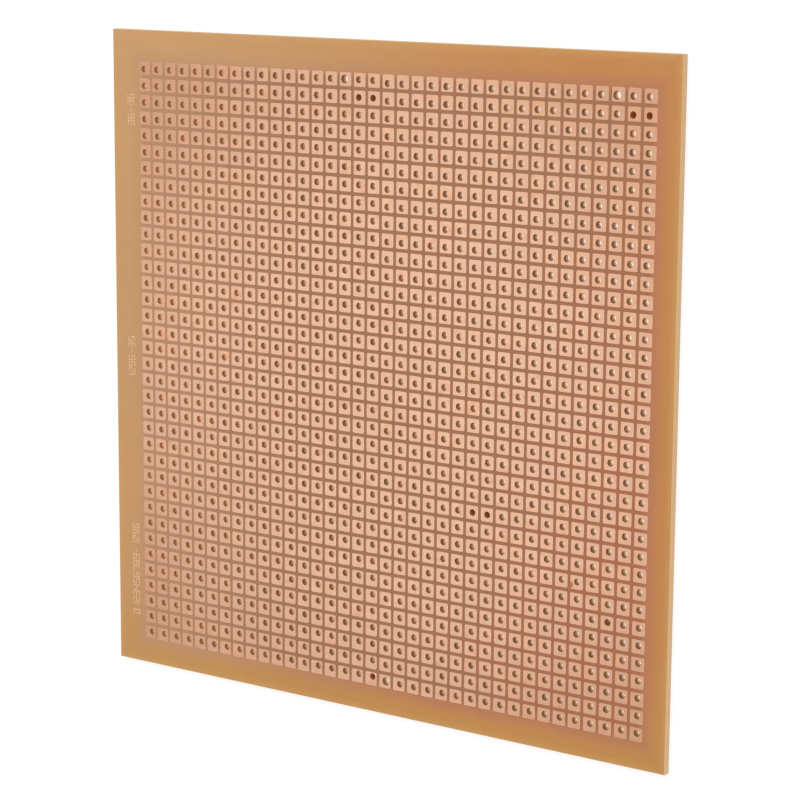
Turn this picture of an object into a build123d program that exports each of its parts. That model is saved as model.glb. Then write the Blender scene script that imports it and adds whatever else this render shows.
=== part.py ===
from build123d import *
import math
import os

# Prototype board: a sheet of paper-phenolic laminate with a square grid of punched
# holes, each ringed by its own square copper pad.  All sizes are in millimetres.
# The sheet lies in XY with its copper side up; Z = 0 is its plain underside.

# The sheet
BOARD_X = 100.0             # width
BOARD_Y = 100.0             # height
BOARD_T = 1.2               # laminate thickness
FOIL_T = 0.035              # copper foil thickness

# The grid
ROWS = 36                   # counted from the +Y edge down
COLUMNS = 36                # counted from the -X edge across
GRID_SHIFT_X = 0.77         # middle of the copper pattern, from the middle of the sheet
GRID_SHIFT_Y = -0.35

# The holes, punched in two strokes of a die that covers half of the columns
HOLE_PITCH = 2.54
HOLE_D = 1.0
PILOT_HOLE_D = 1.25         # the few holes that take the die's pilot pins
BLIND_HOLE_WEB = 0.3        # laminate left under a hole that was not cleared
STROKES = 2
STROKE_TURN = (0.31, 0.22)      # degrees; how far each stroke is turned on the sheet
STROKE_SHIFT_X = (0.05, 0.0)    # how far each stroke's middle is from its true place
STROKE_SHIFT_Y = (0.06, -0.055)

# The etched copper
PAD_SIZE = 2.05             # side of the square pad
PAD_CORNER_R = 0.18
PAD_PITCH_X = 2.543         # the artwork is a little larger than the punched grid
PAD_PITCH_Y = 2.549

# Plain numbers etched beside the first column, reading towards +Y
MARK_HEIGHT = 1.2
MARK_WIDTH = 0.65
MARK_STEP = 1.0             # from one character to the next
MARK_STROKE = 0.16          # width of an etched line

# (row, column) of the holes that differ
PILOT_HOLES = ((1, 16), (1, 34), (36, 19))
BLIND_HOLES = ((2, 17), (2, 18), (2, 35), (2, 36), (25, 25), (25, 26), (36, 18))

# (text, distance of its middle from the -X edge, distance of its start from the +Y edge)
MARKS = (("36-36", 3.5, 14.2), ("1296-36", 3.1, 54.0), ("0123456789-1296", 3.5, 92.0))

# The seven bars of a numeral, as ends in half-widths and half-heights
BARS = {
    "top": ((-1, 1), (1, 1)),
    "middle": ((-1, 0), (1, 0)),
    "bottom": ((-1, -1), (1, -1)),
    "upper_left": ((-1, 0), (-1, 1)),
    "upper_right": ((1, 0), (1, 1)),
    "lower_left": ((-1, -1), (-1, 0)),
    "lower_right": ((1, -1), (1, 0)),
}
NUMERALS = {
    "0": "top bottom upper_left upper_right lower_left lower_right",
    "1": "upper_right lower_right",
    "2": "top middle bottom upper_right lower_left",
    "3": "top middle bottom upper_right lower_right",
    "4": "middle upper_left upper_right lower_right",
    "5": "top middle bottom upper_left lower_right",
    "6": "top middle bottom upper_left lower_left lower_right",
    "7": "top upper_right lower_right",
    "8": "top middle bottom upper_left upper_right lower_left lower_right",
    "9": "top middle bottom upper_left upper_right lower_right",
    "-": "middle",
}


def hole_centre(row, column):
    """Centre of a punched hole: a square grid, turned and shifted with its stroke."""
    per_stroke = COLUMNS // STROKES
    stroke = min((column - 1) // per_stroke, STROKES - 1)
    stroke_middle = (stroke * per_stroke + (per_stroke + 1) / 2)
    grid_middle = (COLUMNS + 1) / 2
    turn = math.radians(STROKE_TURN[stroke])
    across = (column - stroke_middle) * HOLE_PITCH
    up = ((ROWS + 1) / 2 - row) * HOLE_PITCH
    x = (stroke_middle - grid_middle) * HOLE_PITCH + STROKE_SHIFT_X[stroke] + GRID_SHIFT_X
    y = STROKE_SHIFT_Y[stroke] + GRID_SHIFT_Y
    x += across * math.cos(turn) - up * math.sin(turn)
    y += across * math.sin(turn) + up * math.cos(turn)
    return x, y


def hole_radius(row, column):
    """Radius of a hole: all alike but for the pilots."""
    if (row, column) in PILOT_HOLES:
        return PILOT_HOLE_D / 2
    return HOLE_D / 2


def pad_centre(row, column):
    """Centre of a copper pad: a plain grid."""
    x = GRID_SHIFT_X + (column - (COLUMNS + 1) / 2) * PAD_PITCH_X
    y = GRID_SHIFT_Y + ((ROWS + 1) / 2 - row) * PAD_PITCH_Y
    return x, y


def hole_outline(row, column, z):
    """The hole's circle at height z."""
    x, y = hole_centre(row, column)
    return Wire.make_circle(hole_radius(row, column), Plane(origin=(x, y, z)))


def laminate():
    """The sheet, with every hole through it but the few that stop at a thin web."""
    places = [(row, column) for row in range(1, ROWS + 1) for column in range(1, COLUMNS + 1)]
    through = [place for place in places if place not in BLIND_HOLES]
    outline = Wire.make_rect(BOARD_X, BOARD_Y)
    face = Face(outline, [hole_outline(row, column, 0) for row, column in through])
    sheet = extrude(face, BOARD_T, dir=(0, 0, 1))
    for row, column in BLIND_HOLES:
        x, y = hole_centre(row, column)
        depth = BOARD_T - BLIND_HOLE_WEB
        sheet -= Pos(x, y, BOARD_T - depth / 2) * Cylinder(hole_radius(row, column), depth)
    return sheet


def pad(row, column, outline):
    """One square copper pad with the punched hole through it."""
    x, y = pad_centre(row, column)
    edge = outline.moved(Location((x, y, BOARD_T)))
    return extrude(Face(edge, [hole_outline(row, column, BOARD_T)]), FOIL_T, dir=(0, 0, 1))


def pad_row(row):
    """One row of pads, all separate."""
    outline = RectangleRounded(PAD_SIZE, PAD_SIZE, PAD_CORNER_R).face().outer_wire()
    return Compound([pad(row, column, outline).solid() for column in range(1, COLUMNS + 1)])


def character(symbol):
    """One numeral made of etched lines, upright about the origin."""
    shape = None
    for name in NUMERALS[symbol].split():
        (x0, y0), (x1, y1) = BARS[name]
        start = Vector(x0 * MARK_WIDTH / 2, y0 * MARK_HEIGHT / 2)
        end = Vector(x1 * MARK_WIDTH / 2, y1 * MARK_HEIGHT / 2)
        middle = (start + end) / 2
        upright = 90 if x0 == x1 else 0
        bar = Location((middle.X, middle.Y, 0), (0, 0, upright)) * SlotCenterToCenter(
            (end - start).length, MARK_STROKE)
        shape = bar if shape is None else shape + bar
    return extrude(shape, FOIL_T, dir=(0, 0, 1))


def marks():
    """The plain numbers, one solid for each character."""
    solids = []
    for text, from_left, from_top in MARKS:
        x = from_left - BOARD_X / 2
        y = BOARD_Y / 2 - from_top
        for count, symbol in enumerate(text):
            place = Location((x, y + count * MARK_STEP, BOARD_T), (0, 0, 90))
            solids.extend((place * character(symbol)).solids())
    return Compound(solids)


os.makedirs("parts", exist_ok=True)
export_step(laminate(), "parts/laminate.step")
for row in range(1, ROWS + 1):
    export_step(pad_row(row), "parts/pad_row_%02d.step" % row)
export_step(marks(), "parts/numbers.step")
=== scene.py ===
# %% [markdown]
# A prototype board is a thin sheet of paper-phenolic laminate, full of punched holes
# on a 2.54 mm grid, with a square pad of bare copper round every hole.
# This lesson gives the board its looks: the sheet and the pads are worked out with
# numpy so that the holes are smoothly round, and each finish is a small recipe of nodes.

# %% Start from the shared frame
import math
import bpy
import bmesh
import numpy as np
from mathutils import Matrix, Vector


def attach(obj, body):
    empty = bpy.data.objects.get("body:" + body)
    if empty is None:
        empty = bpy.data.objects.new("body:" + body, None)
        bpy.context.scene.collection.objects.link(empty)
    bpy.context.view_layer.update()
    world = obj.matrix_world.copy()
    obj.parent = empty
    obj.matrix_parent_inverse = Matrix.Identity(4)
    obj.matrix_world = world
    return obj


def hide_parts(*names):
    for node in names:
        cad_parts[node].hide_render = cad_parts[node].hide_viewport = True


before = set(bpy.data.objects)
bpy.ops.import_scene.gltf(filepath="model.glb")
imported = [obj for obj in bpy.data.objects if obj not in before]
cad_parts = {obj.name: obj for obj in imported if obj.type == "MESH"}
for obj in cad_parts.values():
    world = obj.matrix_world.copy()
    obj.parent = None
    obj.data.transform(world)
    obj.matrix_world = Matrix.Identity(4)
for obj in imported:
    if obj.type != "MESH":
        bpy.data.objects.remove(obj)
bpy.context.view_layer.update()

# %% [markdown]
# The sizes are the board's own, in millimetres. They are kept together so that the
# holes in the sheet and the holes in the pads come from the same few numbers.

# %% Sizes of the board
MM = 0.001
SHEET = 100.0
THICK = 1.2
FOIL = 0.035
COUNT = 36
PER_STROKE = 18
SHIFT = (0.77, -0.35)
HOLE_PITCH = 2.54
HOLE_R = 0.5
PILOT_R = 0.625
PAD_PITCH = (2.543, 2.549)
PAD_HALF = 1.025
PAD_CORNER = 0.18
PAD_SLOPE = 0.02
PAD_LIP = 0.035
SHEET_SOFTEN = 0.04
WEB = 0.3
TURN = np.radians((0.31, 0.22))
STROKE_X = np.array((0.05, 0.0))
STROKE_Y = np.array((0.06, -0.055))
PILOTS = ((1, 16), (1, 34), (36, 19))
BLIND = ((2, 17), (2, 18), (2, 35), (2, 36), (25, 25), (25, 26), (36, 18))
CHIPPED = (30, 34)

# %% [markdown]
# The die punches half of the columns at a stroke, and the sheet sits a little turned
# each time, so the holes wander off the middles of their pads. Whole arrays of centres
# are worked out at once: one row of the array for each row of the board.

# %% Where the holes and the pads are
rows, columns = np.mgrid[1:COUNT + 1, 1:COUNT + 1]
middle = (COUNT + 1) / 2
stroke = (columns - 1) // PER_STROKE
stroke_x = (stroke * PER_STROKE - PER_STROKE / 2) * HOLE_PITCH + STROKE_X[stroke]
across = (columns - (stroke * PER_STROKE + (PER_STROKE + 1) / 2)) * HOLE_PITCH
up = (middle - rows) * HOLE_PITCH
cosine, sine = np.cos(TURN)[stroke], np.sin(TURN)[stroke]
hole_x = SHIFT[0] + stroke_x + across * cosine - up * sine
hole_y = SHIFT[1] + STROKE_Y[stroke] + across * sine + up * cosine
pad_x = SHIFT[0] + (columns - middle) * PAD_PITCH[0]
pad_y = SHIFT[1] + (middle - rows) * PAD_PITCH[1]
hole_r = np.full(rows.shape, HOLE_R)
for row, column in PILOTS:
    hole_r[row - 1, column - 1] = PILOT_R
blind = np.zeros(rows.shape, bool)
for row, column in BLIND:
    blind[row - 1, column - 1] = True
print("holes", hole_x.size, "furthest off its pad's middle",
      round(float(np.hypot(hole_x - pad_x, hole_y - pad_y).max()), 3), "mm")

# %% [markdown]
# One helper puts finished arrays into a mesh. Corners that fall on the same spot are
# joined by rounding their places and asking numpy for the unique ones, which closes
# every seam without a loop over the corners.

# %% Put arrays into a mesh
SIDES = 16
AROUND = np.arange(SIDES) * 2 * math.pi / SIDES


def make_piece(name, points, faces, finishes, finish_of=None, soft=None, values=None):
    """Joins points closer than a ten-thousandth of a millimetre and builds the mesh.

    points is an array of places in millimetres, faces a list of arrays of equal-sided
    faces, finish_of and soft one entry for each face, values one number for each point."""
    keys, first, where = np.unique(np.round(points * 1e4).astype(np.int64), axis=0,
                                   return_index=True, return_inverse=True)
    where = where.ravel()
    mesh = bpy.data.meshes.new(name)
    mesh.from_pydata((points[first] * MM).tolist(), [],
                     [face for group in faces for face in where[group].tolist()])
    for finish in finishes:
        mesh.materials.append(finish)
    if finish_of is not None:
        mesh.polygons.foreach_set("material_index", finish_of.astype(np.int32))
    if soft is not None:
        mesh.polygons.foreach_set("use_smooth", soft)
    if values is not None:
        mesh.attributes.new("tone", "FLOAT", "POINT").data.foreach_set("value", values[first])
    shape = bmesh.new()
    shape.from_mesh(mesh)
    bmesh.ops.recalc_face_normals(shape, faces=shape.faces)
    open_edges = sum(not edge.is_manifold for edge in shape.edges)
    shape.to_mesh(mesh)
    shape.free()
    piece = bpy.data.objects.new(name, mesh)
    bpy.context.scene.collection.objects.link(piece)
    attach(piece, "root")
    print(name, "faces", len(mesh.polygons), "open edges", open_edges)
    return piece


def strip(ring_a, ring_b):
    """Quads between two rings of point numbers: a[k], a[k+1], b[k+1], b[k]."""
    corners = [ring_a, np.roll(ring_a, -1, -1), np.roll(ring_b, -1, -1), ring_b]
    return np.stack(corners, -1).reshape(-1, 4)


# %% [markdown]
# A finish is a recipe of shader nodes. Long chains of Math nodes are hard to read, so
# one small class lets a socket take part in a plain Python sum, and one method makes
# any other node from its settings and its sockets.

# %% Write shader sums as Python sums
class Amount:
    """A number that varies over a surface: a socket that can be added and multiplied."""

    def __init__(self, tree, socket):
        self.tree, self.socket = tree, socket

    def sum(self, operation, *others):
        node = self.tree.nodes.new("ShaderNodeMath")
        node.operation = operation
        for value, entry in zip(others, node.inputs):
            plug(self.tree, value, entry)
        return Amount(self.tree, node.outputs[0])

    def __add__(self, other): return self.sum("ADD", self, other)
    def __radd__(self, other): return self.sum("ADD", other, self)
    def __sub__(self, other): return self.sum("SUBTRACT", self, other)
    def __rsub__(self, other): return self.sum("SUBTRACT", other, self)
    def __mul__(self, other): return self.sum("MULTIPLY", self, other)
    def __rmul__(self, other): return self.sum("MULTIPLY", other, self)
    def __truediv__(self, other): return self.sum("DIVIDE", self, other)
    def __gt__(self, other): return self.sum("GREATER_THAN", self, other)
    def __abs__(self): return self.sum("ABSOLUTE", self)
    def larger(self, other): return self.sum("MAXIMUM", self, other)
    def smaller(self, other): return self.sum("MINIMUM", self, other)
    def sine(self): return self.sum("SINE", self)


def plug(tree, value, entry):
    """Links a varying value to a socket, or sets a plain one on it."""
    if isinstance(value, Amount):
        tree.links.new(value.socket, entry)
    else:
        entry.default_value = value


def tint(red, green, blue):
    """A colour as it is named on screen, 0 to 255, in the shader's own linear scale."""
    screen = np.array((red, green, blue)) / 255
    linear = np.where(screen <= 0.04045, screen / 12.92, ((screen + 0.055) / 1.055) ** 2.4)
    return (*linear.tolist(), 1.0)


class Finish:
    """One material: a Principled shader and the recipe that feeds it."""

    def __init__(self, name, **constants):
        self.material = bpy.data.materials.new(name)
        self.material.use_nodes = True
        self.tree = self.material.node_tree
        self.shader = self.tree.nodes["Principled BSDF"]
        for label, value in constants.items():
            self.shader.inputs[label.replace("_", " ")].default_value = value
        self.place = self.node("ShaderNodeTexCoord", out="Object")
        split = self.node("ShaderNodeSeparateXYZ", sockets={"Vector": self.place}).socket.node
        self.x, self.y, self.z = (Amount(self.tree, entry) * 1000 for entry in split.outputs)

    def node(self, kind, settings=None, sockets=None, out=0):
        """Makes a node, sets its settings, then its sockets, and gives one of its outputs."""
        node = self.tree.nodes.new(kind)
        for label, value in (settings or {}).items():
            setattr(node, label, value)
        for label, value in (sockets or {}).items():
            plug(self.tree, value, node.inputs[label])
        return Amount(self.tree, node.outputs[out])

    def grain(self, size, detail=2.0, stretch=(1, 1, 1), seed=0.0):
        """Soft random cloud whose lumps are about size millimetres, 0 to 1."""
        where = self.node("ShaderNodeMapping", sockets={
            "Vector": self.place, "Scale": [part * 1000 / size for part in stretch],
            "Location": (seed, seed * 1.7, seed * 0.3)})
        return self.node("ShaderNodeTexNoise", sockets={
            "Vector": where, "Scale": 1.0, "Detail": detail, "Roughness": 0.55})

    def ease(self, value, low, high):
        """0 below low, 1 above high, and a smooth rise between."""
        return self.node("ShaderNodeMapRange", {"interpolation_type": "SMOOTHSTEP"},
                         {"Value": value, "From Min": low, "From Max": high})

    def blend(self, part, one, other):
        """The first colour where part is 0, the second where it is 1."""
        return self.node("ShaderNodeMix", {"data_type": "RGBA"}, {0: part, 6: one, 7: other}, 2)

    def shade(self, colour, amount):
        """Makes a colour lighter or darker by a varying amount about 1."""
        grey = self.node("ShaderNodeCombineXYZ", sockets={"X": amount, "Y": amount, "Z": amount})
        return self.node("ShaderNodeVectorMath", {"operation": "MULTIPLY"}, {0: colour, 1: grey})

    def feed(self, **values):
        for label, value in values.items():
            plug(self.tree, value, self.shader.inputs[label.replace("_", " ")])

    def relief(self, height, depth):
        """Turns a height of 0 to 1 into a bump that is depth millimetres high."""
        bump = self.node("ShaderNodeBump", sockets={
            "Height": height, "Strength": 1.0, "Distance": depth * MM}, out="Normal")
        self.feed(Normal=bump)


print("a mid grey of 128 is", round(tint(128, 128, 128)[0], 3), "in the shader")

# %% [markdown]
# Paper-phenolic laminate is brown paper soaked in resin, and light shines through it.
# It is yellower in the open margins, and yellower and lighter still near the sheet's edges,
# where a painted glow stands for light coming in through the edges. Next to the pads it is
# redder: painted shade for the light that the copper holds back. Between the pads the colour
# is partly the resin's own and partly painted shade and reflection of the copper. The painted
# shade is worked out from how far a point is outside the copper pattern.

# %% The face of the laminate
laminate_face = Finish("paper phenolic face", IOR=1.5)
f = laminate_face
pattern_x, pattern_y = COUNT * PAD_PITCH[0] / 2, COUNT * PAD_PITCH[1] / 2
beyond = (abs(f.x - SHIFT[0]) - pattern_x).larger(abs(f.y - SHIFT[1]) - pattern_y)
wobble = f.grain(6.0, 3.0) - 0.5
# painted shade: the face is redder in and just beyond the copper pattern, for the light through the
# sheet that the copper holds back
painted_shade_near_pads = (1 - f.ease(beyond + wobble * 1.2, -0.4, 2.2)) * (f.z > THICK / 2)
# painted light: the margin turns yellower and lighter close to the sheet's edges
painted_edge_light = f.ease(abs(f.x).larger(abs(f.y)) + wobble * 0.8, 48.6, 50.0)
margin = f.blend(f.ease(f.x - f.y * 0.35, -62, 30), tint(195, 146, 95), tint(188, 126, 64))
margin = f.blend(f.ease(0 - f.y, 34, 48) * 0.5, margin, tint(188, 136, 64))
margin = f.blend(painted_edge_light * 0.45, margin, tint(202, 152, 84))
# between the pads: partly the resin's own colour, partly painted shade and reflection of the copper
gap_resin_and_painted_shade = f.blend(f.ease(f.x, -47, -8), tint(174, 127, 94), tint(150, 101, 70))
gap_resin_and_painted_shade = f.blend(f.ease(f.x - f.y * 0.4 + wobble * 20, 8, 62), gap_resin_and_painted_shade, tint(160, 94, 62))
# painted shade: the redder colour just outside the copper pattern
painted_shade_beside_pads = f.blend(f.ease(f.x - f.y * 0.2, -45, 30), tint(188, 140, 99), tint(178, 113, 76))
pads_resin_and_painted_shade = f.blend(f.ease(beyond, -1.2, 0.1), gap_resin_and_painted_shade, painted_shade_beside_pads)
colour = f.blend(painted_shade_near_pads * 0.9, margin, pads_resin_and_painted_shade)
fibres = f.grain(0.5, 4.0, (0.25, 1, 1), 3.0)
clouds = f.grain(14.0, 3.0, seed=7.0)
f.feed(Base_Color=f.shade(colour, 0.90 + fibres * 0.10 + clouds * 0.10),
       Roughness=0.34 + f.grain(3.0, 3.0, seed=5.0) * 0.18)
f.relief(fibres * 0.6 + f.grain(0.18, 2.0, seed=9.0) * 0.4, 0.012)
print("nodes in the laminate finish", len(f.tree.nodes))

# %% [markdown]
# Inside a punched hole the paper is torn and matt. The resin lets light through, so the
# wall glows a little, more towards the far end of the hole: the wall's colour is painted
# lighter with depth, and a weak emission that grows with depth is a painted glow. Each hole
# has a tone of its own, and the holes on the left are painted a little paler, as if lit
# more. On the sheared edge of the sheet the layers of paper show as thin lines, and a weak
# emission gives the edge a painted glow. A hole that wasn't cleared holds crushed resin,
# whose dark colour is partly its own and partly painted shade of the recess, with a painted
# glow on top.

# %% Walls, edges and crushed resin
hole_wall = Finish("torn hole wall", Emission_Strength=1.0)
f = hole_wall
torn = f.grain(0.12, 3.0, (1, 1, 0.35))
# painted light: the wall is lighter and glows more towards the far end of the hole
painted_glow_depth = 1 - f.ease(f.z, 0.05, THICK - 0.4)
tone = f.node("ShaderNodeAttribute", {"attribute_name": "tone"}, out="Fac")
# each hole's own tone, plus painted light that makes the holes on the left paler
tone_and_painted_light = 0.82 + tone * 0.22 + (1 - f.ease(f.x, -50, -8)) * 0.3
wall_with_painted_depth_light = f.blend(painted_glow_depth, tint(112, 72, 42), tint(198, 158, 122))
f.feed(Base_Color=f.shade(wall_with_painted_depth_light, tone_and_painted_light * (0.8 + torn * 0.4)), Roughness=0.8,
       Emission_Color=f.shade(f.blend(painted_glow_depth, tint(94, 60, 32), tint(172, 138, 108)), tone_and_painted_light))
f.relief(torn, 0.03)

# painted glow: a weak emission lights the sheared edge
sheared_edge = Finish("sheared paper edge", Emission_Strength=1.0, Emission_Color=tint(104, 84, 58))
f = sheared_edge
layers = (f.z * (2 * math.pi / 0.17) + f.grain(2.5, 2.0) * 5).sine() * 0.5 + 0.5
crumbs = f.grain(0.16, 4.0, seed=2.0)
cut_paper = f.blend(layers * 0.4 + crumbs * 0.4, tint(224, 192, 152), tint(188, 142, 92))
f.feed(Base_Color=cut_paper, Roughness=0.85)
f.relief(layers * 0.4 + crumbs * 0.6, 0.03)

# the resin's dark colour is partly its own and partly painted shade of the recess; its emission is
# a painted glow
crushed_resin = Finish("crushed resin", Emission_Strength=1.0, Emission_Color=tint(74, 32, 14))
f = crushed_resin
lumps = f.grain(0.3, 3.0)
f.feed(Base_Color=f.blend(lumps, tint(104, 46, 22), tint(142, 72, 38)), Roughness=0.7)
f.relief(lumps, 0.06)
print("finishes so far", len(bpy.data.materials))

# %% [markdown]
# The sheet is built cell by cell: each hole's ring of points is bridged to the square
# cell round it, above and below, and the two rings of the hole make its wall. All cells
# are one array, so 1296 holes take no longer to write than one.

# %% The sheet with its holes
quarter = np.array([0.0, 0.25, 0.5, 0.75])
square_u = np.concatenate([np.ones(2), 1 - quarter, np.zeros(4), quarter, np.ones(2)])
square_v = np.concatenate([[0.5, 0.75], np.ones(4), 1 - quarter, np.zeros(4), [0.0, 0.25]])


def cell_rings(z):
    """The square outline and the hole's circle of every cell at height z.

    Square: the cell's low corner plus its pitch times the outline's fractions.
    Circle: centre plus radius times cosine and sine of sixteen equal angles."""
    outline = np.stack([(pad_x - PAD_PITCH[0] / 2)[..., None] + PAD_PITCH[0] * square_u,
                        (pad_y - PAD_PITCH[1] / 2)[..., None] + PAD_PITCH[1] * square_v,
                        np.full(pad_x.shape + (SIDES,), z)], -1)
    circle = np.stack([hole_x[..., None] + hole_r[..., None] * np.cos(AROUND),
                       hole_y[..., None] + hole_r[..., None] * np.sin(AROUND),
                       np.full(pad_x.shape + (SIDES,), z)], -1)
    return outline.reshape(-1, 3), circle.reshape(-1, 3)


def frame_ring(half_x, half_y, middle, z):
    """A rectangle's outline: fractions from -1 to 1 times its half sizes, plus its middle."""
    t = np.linspace(-1, 1, COUNT * 4 + 1)[:-1]
    one = np.ones_like(t)
    x = np.concatenate([t, one, -t, -one]) * half_x + middle[0]
    y = np.concatenate([-one, t, one, -t]) * half_y + middle[1]
    return np.stack([x, y, np.full(x.shape, z)], -1)


def sheet_with_holes():
    """Cells, margin and edge of the sheet, a finish for each face and a tone for each hole.

    The finishes are 0 face, 1 wall, 2 edge and 3 resin."""
    top_square, top_circle = cell_rings(THICK)
    low_square, low_circle = cell_rings(0.0)
    wall_end = low_circle.copy()
    wall_end[np.repeat(blind.ravel(), SIDES), 2] = WEB
    half, eased = SHEET / 2, SHEET / 2 - SHEET_SOFTEN
    rings = [frame_ring(pattern_x, pattern_y, SHIFT, THICK),
             frame_ring(eased, eased, (0, 0), THICK),
             frame_ring(half, half, (0, 0), THICK - SHEET_SOFTEN),
             frame_ring(half, half, (0, 0), SHEET_SOFTEN),
             frame_ring(eased, eased, (0, 0), 0.0),
             frame_ring(pattern_x, pattern_y, SHIFT, 0.0)]
    blocks = [top_square, top_circle, low_square, low_circle, wall_end, *rings]
    start = np.cumsum([0] + [len(block) for block in blocks])
    number = [np.arange(a, b) for a, b in zip(start[:-1], start[1:])]
    ts, tc, ls, lc, we = (part.reshape(-1, SIDES) for part in number[:5])
    quads = [strip(ts, tc), strip(ls, lc), strip(tc, we)]
    kinds = [np.zeros(len(quads[0])), np.zeros(len(quads[1])),
             np.where(np.repeat(blind.ravel(), SIDES), 3, 1)]
    for k, kind in zip(range(5, 10), (0, 2, 2, 2, 0)):
        quads.append(strip(number[k][None], number[k + 1][None]))
        kinds.append(np.full(len(quads[-1]), kind))
    discs = np.concatenate([we[blind.ravel()], lc[blind.ravel()]])
    kinds.append(np.repeat((3, 0), int(blind.sum())))
    kinds = np.concatenate(kinds)
    quads = np.concatenate(quads)
    soft = np.zeros(len(kinds), bool)
    soft[:len(quads)] = kinds[:len(quads)] % 2 == 1
    tones = np.zeros(start[-1])
    tones[tc] = tones[lc] = tones[we] = random.random(hole_x.size)[:, None]
    return np.concatenate(blocks), [quads, discs], kinds, soft, tones


random = np.random.default_rng(36)
points, faces, kinds, soft, tones = sheet_with_holes()
sheet_finishes = [finish.material for finish in
                  (laminate_face, hole_wall, sheared_edge, crushed_resin)]
sheet = make_piece("laminate_sheet", points, faces, sheet_finishes, kinds, soft, tones)
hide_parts("laminate")

# %% [markdown]
# Bare copper foil is pale pink. A painted highlight makes it lighter near a point close to
# the middle and browner away from it, worked out from the squared distance to that point.
# Two small flaws, a round stain and a scratch, are distances that fall to nothing at one
# place. Each pad gets a tone of its own, kept as a number on the mesh, so that the grid
# looks made of 1296 small pieces and not of one printed pattern.

# %% The copper finish
copper = Finish("bare copper foil", Metallic=0.85)
f = copper
tone = f.node("ShaderNodeAttribute", {"attribute_name": "tone"}, out="Fac")
# painted highlight: lighter copper near a point close to the middle, browner away from it
painted_highlight_distance = (f.x - 2) * (f.x - 2) + (f.y + 2) * (f.y + 2)
away_from_painted_highlight = f.ease(painted_highlight_distance / 60 + f.grain(30.0, 2.0, seed=11.0) * 24, 14, 84)
copper_with_painted_highlight = f.blend(away_from_painted_highlight, tint(228, 184, 154), tint(202, 154, 122))
tarnish = f.ease(f.grain(1.6, 4.0, seed=4.0) + tone * 0.25, 0.62, 0.95)
colour = f.blend(tarnish * 0.4, copper_with_painted_highlight, tint(196, 138, 104))
stain_x, stain_y = f.x - 34.15, f.y + 25.0
stain_size = (stain_x * stain_x + stain_y * stain_y) * 3 + f.grain(0.3, 3.0, seed=8.0) - 0.5
scratch_side = abs((f.x - 28.9) * 0.73 + (f.y + 35.55) * 0.68) * 8
scratch_end = abs((f.x - 28.9) * 0.68 - (f.y + 35.55) * 0.73) * 1.6
flaw = 1 - f.ease(stain_size.smaller(scratch_side.larger(scratch_end)), 0.3, 0.75)
colour = f.blend(flaw * 0.8, colour, tint(168, 98, 64))
brushed = f.grain(0.5, 3.0, (0.12, 1.6, 1), 6.0)
f.feed(Base_Color=f.shade(colour, 0.93 + tone * 0.07 + brushed * 0.05),
       Roughness=0.42 + brushed * 0.12 + tarnish * 0.14)
f.relief(brushed * 0.7 + f.grain(0.12, 2.0) * 0.3, 0.006)
print("nodes in the copper finish", len(f.tree.nodes))

# %% [markdown]
# A pad is one closed profile carried round its hole: up the etched outer edge, across
# the flat, over the lip the punch has drawn in, and back underneath. Four rings of
# sixteen points are enough, because there are so many pads.

# %% The pads
straight = PAD_HALF - PAD_CORNER
bend = straight + PAD_CORNER * math.sqrt(0.5)
side_a = np.array([PAD_HALF, PAD_HALF, bend, straight])
side_b = np.array([0.0, straight, bend, PAD_HALF])
outline_x = np.concatenate([side_a, -side_b, -side_a, side_b])
outline_y = np.concatenate([side_b, side_a, -side_b, -side_a])


def pads(rows_here):
    """Rings of all pads in some rows: outline, inset outline, lip and hole, with heights.

    The outline is a rounded square times a size; the hole is a circle about its own centre."""
    px, py, hx, hy, r = (part[rows_here].ravel()[:, None]
                         for part in (pad_x, pad_y, hole_x, hole_y, hole_r))
    inset = 1 - PAD_SLOPE / PAD_HALF
    ring_x = [px + outline_x, px + outline_x * inset,
              hx + (r + PAD_LIP) * np.cos(AROUND), hx + r * np.cos(AROUND)]
    ring_y = [py + outline_y, py + outline_y * inset,
              hy + (r + PAD_LIP) * np.sin(AROUND), hy + r * np.sin(AROUND)]
    heights = (THICK, THICK + FOIL, THICK + FOIL, THICK)
    points = np.stack([np.stack([x, y, np.full(x.shape, z)], -1)
                       for x, y, z in zip(ring_x, ring_y, heights)], 1)
    number = np.arange(points.size // 3).reshape(len(px), 4, SIDES)
    quads = np.concatenate([strip(number[:, k], number[:, (k + 1) % 4]) for k in range(4)])
    tones = np.repeat(random.random(len(px)), 4 * SIDES)
    return points.reshape(-1, 3), [quads], tones


for first in range(0, COUNT, 6):
    points, faces, tones = pads(slice(first, first + 6))
    piece = make_piece("pads_rows_%02d_to_%02d" % (first + 1, first + 6), points, faces,
                       [copper.material], values=tones)
    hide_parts(*["pad_row_%02d" % row for row in range(first + 1, first + 7)])

# %% [markdown]
# The small numbers in the margin are etched from the same foil, but they are so thin
# that they look faint. The modelled part has them already, so they only need a finish.

# %% The etched numbers
faint_copper = Finish("thin etched copper", Metallic=0.15)
f = faint_copper
worn = f.grain(0.7, 3.0)
f.feed(Base_Color=f.blend(worn, tint(232, 196, 158), tint(208, 162, 118)),
       Roughness=0.5 + worn * 0.15)
f.relief(f.grain(0.15, 2.0), 0.006)
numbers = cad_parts["numbers"]
numbers.data.materials.clear()
numbers.data.materials.append(faint_copper.material)
print("faces in the numbers", len(numbers.data.polygons))

# %% [markdown]
# One hole near the lower right has chips of resin jammed in it. They are a handful of
# flat lumps: a ball squeezed in height, its radius pushed about by a sum of sines.

# %% Chips in one hole
CHIP_OUT = 0.23
CHIP_DOWN = 0.14
CHIP_WHERE = np.array((0.4, 2.3, 4.3, 5.6))
CHIP_SIZES = np.array((0.24, 0.22, 0.23, 0.2))
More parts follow.
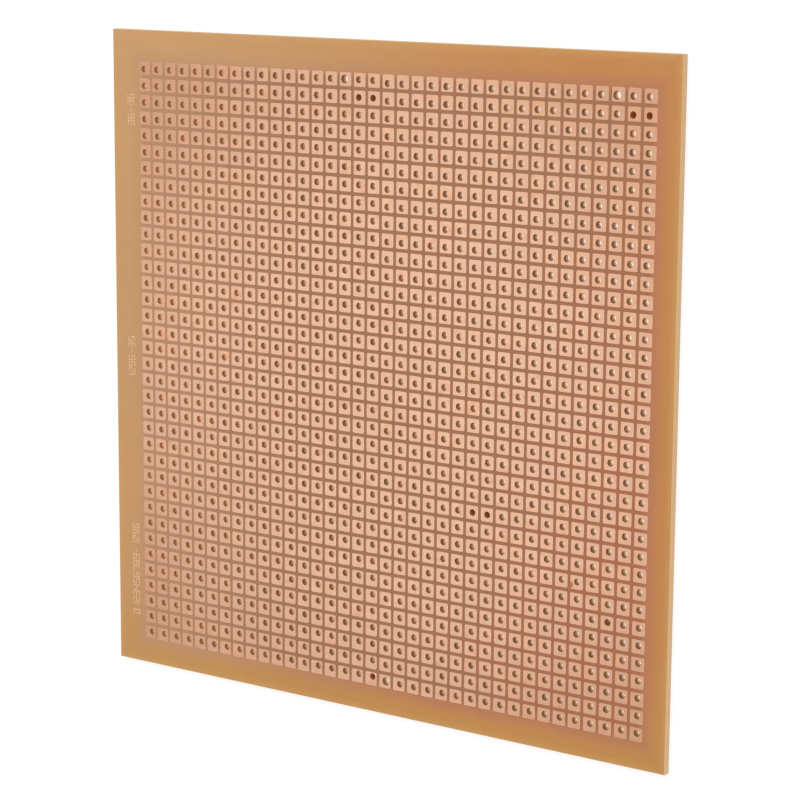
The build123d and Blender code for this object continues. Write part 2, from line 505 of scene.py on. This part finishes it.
# painted glow: the chips give off a weak light of their own
chip_resin = Finish("dark resin chips", Specular_IOR_Level=0.1, Emission_Strength=1.0,
                    Emission_Color=tint(70, 26, 10))
f = chip_resin
specks = f.ease(f.grain(0.12, 3.0), 0.54, 0.6)
f.feed(Base_Color=f.blend(specks, tint(78, 28, 12), tint(190, 140, 108)), Roughness=0.9)


def chips_in(x, y, where, sizes):
    """Four lumps about a hole's middle, as one array: lump, level, step round.

    Radius = size times (1 + 0.2 sin(3 round + where) + 0.15 sin(4 level + where)), half as
    high. Each lump's middle is CHIP_OUT from the hole's, in the direction where, and a
    little lower than the one before. Flat ends close it."""
    where, level, turn = np.meshgrid(where, np.linspace(0.5, math.pi - 0.5, 5),
                                     np.arange(10) * math.pi / 5, indexing="ij")
    wave = 0.2 * np.sin(3 * turn + where) + 0.15 * np.sin(4 * level + where)
    radius = sizes[:, None, None] * (1 + wave * np.sin(level))
    points = np.stack([x + CHIP_OUT * np.cos(where) + radius * np.sin(level) * np.cos(turn),
                       y + CHIP_OUT * np.sin(where) + radius * np.sin(level) * np.sin(turn),
                       THICK - CHIP_DOWN - 0.02 * where + radius * np.cos(level) * 0.5], -1)
    number = np.arange(level.size).reshape(level.shape)
    ends = np.concatenate([number[:, 0], number[:, -1]])
    return points.reshape(-1, 3), [strip(number[:, :-1], number[:, 1:]), ends]


chip_x, chip_y = (part[CHIPPED[0] - 1, CHIPPED[1] - 1] for part in (hole_x, hole_y))
points, faces = chips_in(chip_x, chip_y, CHIP_WHERE, CHIP_SIZES)
chips = make_piece("resin_chips", points, faces, [chip_resin.material])

# %% [markdown]
# The board lies on a pale floor. The floor is partly white by its own colour for the
# eye of the camera, so that it stays clean while it still takes the board's soft shadow.

# %% Floor, sky and lamps
FLOOR_HALF = 6
FLOOR_DROP = 0.00002
floor_mesh = bpy.data.meshes.new("floor")
floor_mesh.from_pydata([(x * FLOOR_HALF, y * FLOOR_HALF, -FLOOR_DROP)
                        for x, y in ((-1, -1), (1, -1), (1, 1), (-1, 1))], [], [(0, 1, 2, 3)])
floor = bpy.data.objects.new("floor", floor_mesh)
bpy.context.scene.collection.objects.link(floor)


def seen(tree):
    """1 where the camera, a reflection or a clear pane looks, 0 for light that bounces."""
    path = tree.nodes.new("ShaderNodeLightPath")
    looks = [Amount(tree, path.outputs[label]) for label in
             ("Is Camera Ray", "Is Glossy Ray", "Is Transmission Ray")]
    return looks[0].larger(looks[1]).larger(looks[2])


paper = Finish("white floor", Roughness=0.9, Base_Color=(0.3, 0.3, 0.3, 1), Emission_Strength=1.0)
paper.feed(Emission_Color=paper.blend(seen(paper.tree), (0, 0, 0, 1), (0.72, 0.72, 0.72, 1)))
floor_mesh.materials.append(paper.material)

world = bpy.data.worlds.new("soft room")
world.use_nodes = True
bpy.context.scene.world = world
sky = world.node_tree.nodes["Background"]
sky.inputs["Color"].default_value = (1, 1, 1, 1)
plug(world.node_tree, 0.62 + seen(world.node_tree) * 0.38, sky.inputs["Strength"])


def soft_lamp(name, place, aim, width, power):
    """A square lamp at place, in metres, that faces aim."""
    lamp = bpy.data.lights.new(name, "AREA")
    lamp.size, lamp.energy = width, power
    holder = bpy.data.objects.new(name, lamp)
    holder.location = place
    holder.rotation_euler = (Vector(aim) - Vector(place)).to_track_quat("-Z", "Y").to_euler()
    bpy.context.scene.collection.objects.link(holder)


soft_lamp("window", (-0.12, 0.45, 0.65), (0, 0, 0), 0.45, 2.8)
soft_lamp("wall at the right", (0.75, -0.25, 0.12), (0, 0, 0), 0.5, 2.5)
print("lamps", [lamp.name for lamp in bpy.data.lights])

# %% [markdown]
# The camera stands to the right of the board and well above it, and is rolled so that
# the rows run almost level across the picture. It is given as a place and two
# directions: the way it looks and the way that is up in the picture.

# %% The camera
EYE = Vector((0.2238, 0.0704, 0.3135))
LOOKS = Vector((-0.5647, -0.1861, -0.8040)).normalized()
UPWARD = Vector((-0.1128, 0.9825, -0.1482))
LENS = 119.8

sideways = LOOKS.cross(UPWARD).normalized()
upright = sideways.cross(LOOKS)
camera_data = bpy.data.cameras.new("camera")
camera_data.lens, camera_data.sensor_width = LENS, 36.0
camera_data.clip_start, camera_data.clip_end = 0.01, 30
camera = bpy.data.objects.new("camera", camera_data)
turned = Matrix((sideways, upright, -LOOKS)).transposed().to_4x4()
camera.matrix_world = Matrix.Translation(EYE) @ turned
bpy.context.scene.collection.objects.link(camera)
bpy.context.scene.camera = camera
bpy.context.scene.view_settings.view_transform = "Standard"
print("the camera is", round(EYE.length, 3), "m from the board")
